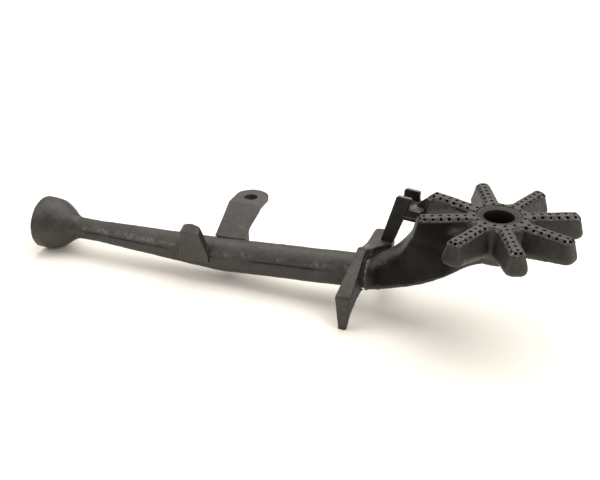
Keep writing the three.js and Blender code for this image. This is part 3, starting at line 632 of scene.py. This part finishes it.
def mixing_tube():
    g = Grid((-508.5, -31.5, -125), (-106, 31.5, -48), 0.95)
    outer = tube_field(g)
    height = g.z - axis_z(g.x)
    along = np.clip((g.x - MOUTH_X - 40) / 20, 0, 1)
    over = height - ridge_height(g.x)
    ridge = 0.6 * np.exp(-(over / 1.3) ** 2) * (np.abs(g.y) > 4)
    shift = 0.8 / (1 + np.exp((over + 1.3) / 0.5))
    outer = outer - (ridge - shift) * along
    wall = np.where(g.x < MOUTH_X + BELL_LENGTH, 3.5, TUBE_WALL)
    field = smax(outer, -(tube_field(g) + wall), 1.0)
    field = smax(field, MOUTH_X + 0 * field - g.x, 2.2)
    spigot = np.maximum(np.hypot(g.y, height) - 16.1, g.x - JOINT_X - 16)
    field = np.maximum(field, np.minimum(g.x - JOINT_X + SEAM, np.maximum(spigot, JOINT_X - 3 - g.x)))
    for x in TAB_SCREWS:
        field = np.maximum(field, -screw_hole(g, x, 2.8, 8, 40))
    field = np.maximum(field, -np.maximum(np.hypot(g.x + 314.25, height) - 4.3, slab(g.y, -30, -10)))
    item = surface("mixing_tube_casting", field, g)
    roughen(item, [(30, 0.28), (7, 0.22), (2.8, 0.12)])
    points = points_of(item)
    inside = np.hypot(points[:, 1], points[:, 2] - axis_z(points[:, 0]))
    inside = inside < tube_outer_radius(points[:, 0]) - 1.8
    # Painted shade inside the tube's bore.
    bore = 0.75 * inside * np.clip((points[:, 0] - MOUTH_X - 6) / 30, 0, 1)
    over = points[:, 2] - axis_z(points[:, 0]) - ridge_height(points[:, 0])
    neck = np.clip((points[:, 0] - MOUTH_X - 44) / 16, 0, 1)
    outside = neck * (points[:, 1] < 0) * (1 - inside)
    # Painted shade in a line under the moulding ridge, on the front side.
    painted_ridge_shade = np.exp(-((over + 2.1) / 1.2) ** 2) * np.clip(noise(points, 14) + 0.75, 0, 1)
    west = np.clip((-318 - points[:, 0]) / 10, 0, 1)
    # Painted sheen: a lighter band above the moulding ridge, stronger towards the bell end.
    painted_sheen = np.exp(-((over - 2.6) / 2.6) ** 2) * np.clip(noise(points, 7) * 0.8 + 0.45, 0, 1)
    attribute(item, "painted_shade_and_tone", np.maximum(bore, 0.9 * painted_ridge_shade * outside))
    flecks = np.clip(noise(points, 2.1) * 0.9 + 0.5, 0, 1)
    attribute(item, "wear_and_sheen", (0.22 + 0.16 * west) * painted_sheen * flecks * outside)
    return stand_in(item, TUBE, "tube_casting", "mixing_tube")


# ---------------------------------------------------------------- brackets

def blended(g, field, fillet, support=None):
    """Fillets a piece on to the tube, or to a given support, then takes that away from it."""
    support = tube_field(g) if support is None else support
    return np.maximum(smin(field, support, fillet), -(support - SEAM))


def leg_field(g, profile, root_x, end_x, side):
    reach = side * g.y
    out = reach / 55
    drop = np.clip((-87 - g.z) / 36, 0, 1)
    half = (4.5 + 3.8 * np.clip(out, 0, 1)) * (1 - 0.5 * drop)
    flat = polygon(reach, g.z, profile)
    return smax(flat, np.abs(g.x - root_x - (end_x - root_x) * out) - half, 1.1)


def leg_bracket():
    g = Grid((-144, -57, -124.4), (-98, 57, -55), 0.75)
    inner = [(50.5, REST_Z), (43, -111), (27, -103.5), (0, -101)]
    front = [(0, -58.5), (3, -57.5), (53, -86), (55, -89), (54.5, REST_Z), *inner]
    rear = [(0, -58.5), (45, -58.5), (48, -64), (55, -87), (54.5, REST_Z), *inner]
    plan = [(-133, -2), (-124.5, -4), (-111, 11), (-104.3, 17.1), (-104.3, 27.6), (-112, 48),
            (-123.6, 48), (-127.2, 46.5), (-128.6, 43), (-128.6, 10.6)]
    shelf = smax(polygon(g.x, g.y, plan), slab(g.z, -66.5, -57.5), 1.4)
    legs = np.minimum(leg_field(g, front, -129.7, -132.7, -1), leg_field(g, rear, -124, -121.5, 1))
    support = np.where(g.x < JOINT_X, tube_field(g), np.minimum(elbow_field(g), bead_field(g)))
    field = blended(g, smin(shelf, legs, 3), 3.0, support)
    field = np.maximum(field, REST_Z - g.z)
    item = surface("leg_casting", field, g)
    roughen(item, [(12, 0.25), (3, 0.2)], lambda p: (p[:, 2] > REST_Z + 1.5).astype(float))
    points = points_of(item)
    shelf_edge = np.exp(-((points[:, 2] + 58) / 0.8) ** 2 - ((points[:, 0] + 128) / 3.5) ** 2)
    patch = np.clip(noise(points, 5) + 0.35, 0, 1)
    attribute(item, "wear_and_sheen", 0.55 * shelf_edge * patch * (np.abs(points[:, 1] - 6) < 9))
    # Painted shade on the front leg's faces that look towards the burner head.
    attribute(item, "painted_shade_and_tone", east_shade(item, 0.5) * (points[:, 1] < -12))
    return stand_in(item, LEGS, "bracket_casting", "leg_bracket")


def pilot_frame(g):
    turn = math.radians(-11.8)
    dx, dy = g.x + 118.2, g.y - 21.1
    return dx * math.cos(turn) + dy * math.sin(turn), dy * math.cos(turn) - dx * math.sin(turn)


def post_field(g, grow=0.0):
    along, depth = pilot_frame(g)
    outline = [(0, -57.4), (14.2, -57.4), (32.2, -6.5), (30.7, -5), (17.2, -5), (15.2, -7)]
    return smax(polygon(along, g.z, outline), slab(depth, 0, 4.5), 0.9) - grow


def pilot_post():
    g = Grid((-121, 8, -59), (-82, 30, -3.5), 0.55)
    item = surface("post_casting", post_field(g), g)
    roughen(item, [(8, 0.2), (2.4, 0.16)])
    # Painted shade on the post's front-facing faces.
    paint_front_shade(item, 0.75, -140, -60, 40)
    points = points_of(item)
    attribute(item, "wear_and_sheen", 0.4 * np.clip((points[:, 2] + 5.9) / 0.8, 0, 1))
    return stand_in(item, LEGS, "bracket_casting", "pilot_post")


def pilot_cradle():
    g = Grid((-106, 5, -31), (-60, 46, -3.5), 0.55)
    along, depth = pilot_frame(g)
    block_outline = [(19, -28.5), (42, -28.5), (42, -17), (19, -17)]
    block = smax(polygon(along, g.z, block_outline), slab(depth, 0, 25), 0.8)
    lip_outline = [(24, -28.5), (42, -28.5), (42, -24.5), (24, -24.5)]
    lip = smax(polygon(along, g.z, lip_outline), slab(depth, -1.5, 1), 0.6)
    prong = [(11.1, -28.5), (31.0, -28.5), (31.2, -6.5), (29.6, -5), (15.9, -5), (13.9, -7)]
    prong = smax(polygon(along, g.z, prong), slab(depth, 20.5, 25), 0.9)
    lump = np.sqrt((g.x + 85) ** 2 + (g.y - 26) ** 2 + (g.z + 17.8) ** 2 * 3.5) - 4.2
    arm = FIRST_ARM + 6 * HALF_PITCH
    out = g.x * math.cos(arm) + g.y * math.sin(arm)
    across = g.y * math.cos(arm) - g.x * math.sin(arm)
    ramp = polygon(out, g.z, [(70, -3.8), (76.8, -3.8), (90, -16), (90, -28), (70, -28)])
    ramp = smax(ramp, np.abs(across) - 7.6 - 0.12 * np.maximum(-4 - g.z, 0), 1.5)
    field = smin(smin(smin(block, lip, 0.8), prong, 2.5), lump, 1.5)
    field = smin(field, ramp, 2.0)
    q, radius = star_outline(g)
    star = smin(star_sides(q, radius, g.z), elbow_field(g), 9)
    field = np.maximum(smin(field, star, 2.0), -(star - SEAM))
    field = np.maximum(field, -post_field(g, SEAM))
    item = surface("cradle_casting", field, g)
    roughen(item, [(8, 0.22), (2.4, 0.2)])
    points = points_of(item)
    # Painted shade on the cradle's front-facing faces.
    paint_front_shade(item, 0.8, -140, -60, 60)
    lumpy = np.exp(-((points[:, 0] + 85) ** 2 + (points[:, 1] - 26) ** 2) / 22) * (points[:, 2] > -18.5)
    attribute(item, "wear_and_sheen", np.maximum(0.5 * np.clip((points[:, 2] + 5.9) / 0.8, 0, 1), lumpy * 0.3))
    return stand_in(item, HEAD, "bracket_casting", "pilot_cradle")


def mounting_tab():
    g = Grid((-299, 5, -108), (-258, 87, -52), 0.55)
    strip = polygon(g.y, g.z, [(8, -106), (TAB_BACK, -106), (TAB_BACK, -72.3), (49.7, -59.5), (84.8, -59.5),
                               (84.8, -54), (47, -54), (8, -77.9)])
    east = g.x - TAB_X
    across = np.abs(east)
    notch = 3.0 * (east > 0) * np.clip((-60 - g.z) / 15, 0, 1)
    beyond = np.maximum(g.y - TAB_EAR_Y, 0)
    plan = (across**2.25 + beyond**2.25) ** (1 / 2.25) - TAB_HALF + notch
    hole = np.hypot(east + 0.3, g.y - TAB_HOLE_Y) - 7.1
    boss = smax(hole - 3.6, slab(g.z, -62.8, -56), 0.6)
    field = cut(smin(smax(strip, plan, 0.7), boss, 1.5), hole + 0 * g.z, 0.7)
    field = np.maximum(field, -(tube_field(g) - SEAM))
    for x in TAB_SCREWS:
        field = np.maximum(field, -screw_hole(g, x, 2.8, 8, 40))
    item = surface("tab_casting", field, g)
    roughen(item, [(14, 0.2), (3, 0.12)])
    points = points_of(item)
    # Painted shade on the lower part of the hole's wall.
    rim = np.hypot(points[:, 0] - TAB_X, points[:, 1] - TAB_HOLE_Y) - 6.9
    attribute(item, "painted_shade_and_tone", np.clip(-points[:, 2] - 54.3, 0, 1) * (np.abs(rim) < 1.0) * 0.35)
    strip_edge = np.abs(np.abs(points[:, 0] - TAB_X) - TAB_HALF) < 0.5
    attribute(item, "wear_and_sheen", 0.25 * strip_edge * (points[:, 1] > 44) * (noise(points, 4) * 0.5 + 0.5))
    return stand_in(item, PLATE_IRON, "tab_plate", "mounting_tab")


def locating_lug():
    g = Grid((-331, -22, -100), (-290, -7, -56), 0.45)
    outline = [(-322.9, -50), (-309, -50), (-293, -89), (-293, -98), (-327.7, -98)]
    share = np.clip((g.x + 324) / 19.5, 0, 1)
    back = np.clip((g.y + 19.2) / 8.7, 0, 1)
    top = -65.5 + back * (4.5 + 2.8 * np.sin(np.pi * share))
    field = smax(polygon(g.x, g.z, outline), (g.z - top) * 0.9, 0.6)
    field = smax(field, slab(g.y, -19.2, -10.5), 0.5)
    field = blended(g, field, 1.6)
    item = surface("lug_casting", field, g)
    roughen(item, [(9, 0.14), (3, 0.10)])
    # Painted shade on the faces that look towards the burner head.
    attribute(item, "painted_shade_and_tone", east_shade(item, 0.62))
    return stand_in(item, PLATE_IRON, "tube_casting", "locating_lug")


# ---------------------------------------------------------------- screws

def screw(name, x, back, radius, head, height, length, node):
    reach = head + 1.5
    z0 = float(axis_z(np.float64(x)))
    g = Grid((x - reach, back - length - 1, z0 - reach), (x + reach, back + height + 1.2, z0 + reach), 0.3)
    away = np.hypot(g.x - x, g.z - z0)
    dome = np.sqrt(away**2 + (g.y - back - height + head * 1.5) ** 2) - head * 1.5
    cap = smax(smax(away - head, dome, 0.3), back + 0.1 - g.y, 0.3)
    slot = np.maximum(np.abs(g.z - z0 - 0.4 * (g.x - x)) - 0.55, back + height - 1.2 - g.y)
    shank = smax(away - radius, slab(g.y, back - length, back + 0.8), 0.2)
    field = np.minimum(cut(cap, slot, 0.2), shank)
    item = surface(name, field, g)
    return stand_in(item, STEEL, "screws", node)


drilled_top()
cast_body()
centre_sleeve()
mixing_tube()
leg_bracket()
pilot_post()
pilot_cradle()
mounting_tab()
locating_lug()
for i, place in enumerate(TAB_SCREWS):
    screw(f"tab_fixing_{i + 1}", place, TAB_BACK, 2.5, 4.6, 3.0, 7.5, f"tab_screw_{i + 1}")
screw("joint_fixing", SET_SCREW_X, TUBE_RADIUS + 1.2, 2.9, 4.2, 3.5, 3.2, "tube_set_screw")


# ---------------------------------------------------------------- stage, lights and camera

def stage_floor():
    bpy.ops.mesh.primitive_plane_add(size=8, location=(0, 0, start[0].z))
    floor = bpy.context.object
    floor.name = "floor"
    material, tree = new_material("floor_white")
    shader = tree.nodes["Principled BSDF"]
    shader.inputs["Base Color"].default_value = (0.90, 0.875, 0.82, 1)
    shader.inputs["Roughness"].default_value = 0.9
    floor.data.materials.append(material)


def area_light(name, offset, size, power, colour=(1, 1, 1)):
    light = bpy.data.lights.new(name, "AREA")
    light.shape = "RECTANGLE"
    light.size, light.size_y = size
    light.energy = power
    light.color = colour
    item = bpy.data.objects.new(name, light)
    bpy.context.scene.collection.objects.link(item)
    target = Vector((0, 0, 0.05))
    item.location = target + Vector(offset)
    item.rotation_euler = (target - item.location).to_track_quat("-Z", "Y").to_euler()
    return item


def studio():
    world = bpy.data.worlds.new("studio")
    bpy.context.scene.world = world
    world.use_nodes = True
    world.node_tree.nodes["Background"].inputs["Color"].default_value = (1, 0.965, 0.92, 1)
    world.node_tree.nodes["Background"].inputs["Strength"].default_value = 0.54
    area_light("above", (0.1, 0.6, 1.5), (2.6, 2.0), 45, (1, 0.96, 0.915))
    area_light("left", (-1.4, -0.5, 1.0), (0.9, 0.9), 8, (1, 0.96, 0.915))
    area_light("right", (1.4, -0.7, 0.9), (0.9, 0.9), 8, (1, 0.96, 0.915))


def viewpoint():
    camera = bpy.data.cameras.new("photo_view")
    camera.sensor_width = 36
    camera.lens = 55.8
    item = bpy.data.objects.new("photo_view", camera)
    bpy.context.scene.collection.objects.link(item)
    item.location = HUB + Vector((100, -790.5, 371)) * MM
    item.rotation_euler = Vector((-0.3125, 0.8328, -0.456)).to_track_quat("-Z", "Y").to_euler()
    bpy.context.scene.camera = item


stage_floor()
studio()
viewpoint()
bpy.context.scene.view_settings.view_transform = "Standard"
